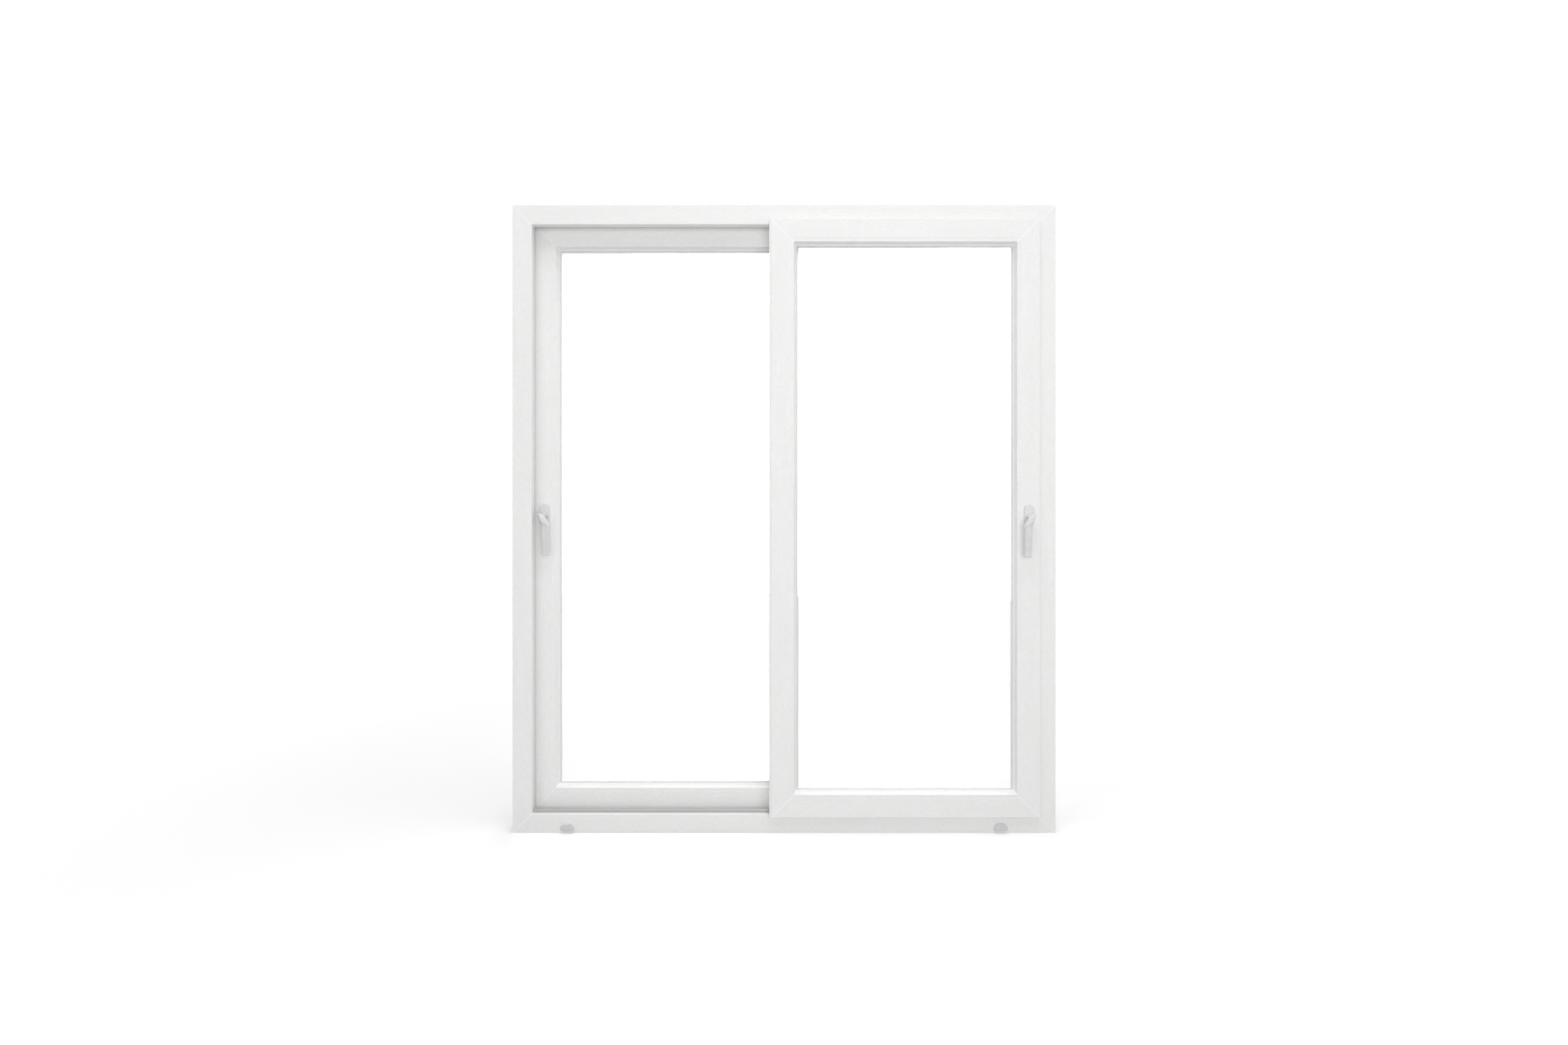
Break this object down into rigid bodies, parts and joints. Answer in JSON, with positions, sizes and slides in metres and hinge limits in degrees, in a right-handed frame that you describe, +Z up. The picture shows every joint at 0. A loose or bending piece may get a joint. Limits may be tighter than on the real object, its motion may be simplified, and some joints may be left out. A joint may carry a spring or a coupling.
{
  "type": "double glazed sliding window",
  "caption": "Sliding sash window in a mitred white frame, with sealed double glazing and a lever handle on each outer stile.",
  "frame": {"origin": "middle of the sill's flat underside", "axes": "+X along the sill to the right seen from the handle side, +Y through the wall away from the handle side, +Z up"},
  "size_m": [1.7, 0.1684, 1.965],
  "materials": {
    "frame_profile": "woodgrain embossed white foil",
    "sash_profile": "woodgrain embossed white foil",
    "bead": "woodgrain embossed white foil",
    "interlock": "satin white",
    "drain_cap": "satin white",
    "glass": "clear float glass",
    "spacer": "satin",
    "gasket": "pale grey",
    "pile": "grey brush pile",
    "packer": "plain",
    "roller": "plain",
    "rail": "satin anodised",
    "handle_plate": "satin white paint",
    "handle_lever": "satin white paint"
  },
  "bodies": {
    "root": {"frame_head": "frame_profile", "frame_left_jamb": "frame_profile", "frame_right_jamb": "frame_profile", "frame_sill": "frame_profile", "front_bottom_rail_bead": "bead", "front_handle_lever": "handle_lever", "front_handle_plate": "handle_plate", "front_meeting_stile_bead": "bead", "front_outer_stile_bead": "bead", "front_rail": "rail", "front_sash_bottom_rail": "sash_profile", "front_sash_far_pane": "glass", "front_sash_gaskets": "gasket", "front_sash_interlock": "interlock", "front_sash_meeting_stile": "sash_profile", "front_sash_near_pane": "glass", "front_sash_outer_stile": "sash_profile", "front_sash_packers": "packer", "front_sash_pile_seals": "pile", "front_sash_rollers": "roller", "front_sash_spacer_bar": "spacer", "front_sash_top_rail": "sash_profile", "front_top_rail_bead": "bead", "left_drain_cap": "drain_cap", "rear_bottom_rail_bead": "bead", "rear_handle_lever": "handle_lever", "rear_handle_plate": "handle_plate", "rear_meeting_stile_bead": "bead", "rear_outer_stile_bead": "bead", "rear_rail": "rail", "rear_sash_bottom_rail": "sash_profile", "rear_sash_far_pane": "glass", "rear_sash_gaskets": "gasket", "rear_sash_interlock": "interlock", "rear_sash_meeting_stile": "sash_profile", "rear_sash_near_pane": "glass", "rear_sash_outer_stile": "sash_profile", "rear_sash_packers": "packer", "rear_sash_pile_seals": "pile", "rear_sash_rollers": "roller", "rear_sash_spacer_bar": "spacer", "rear_sash_top_rail": "sash_profile", "rear_top_rail_bead": "bead", "right_drain_cap": "drain_cap"}
  },
  "joints": []
}
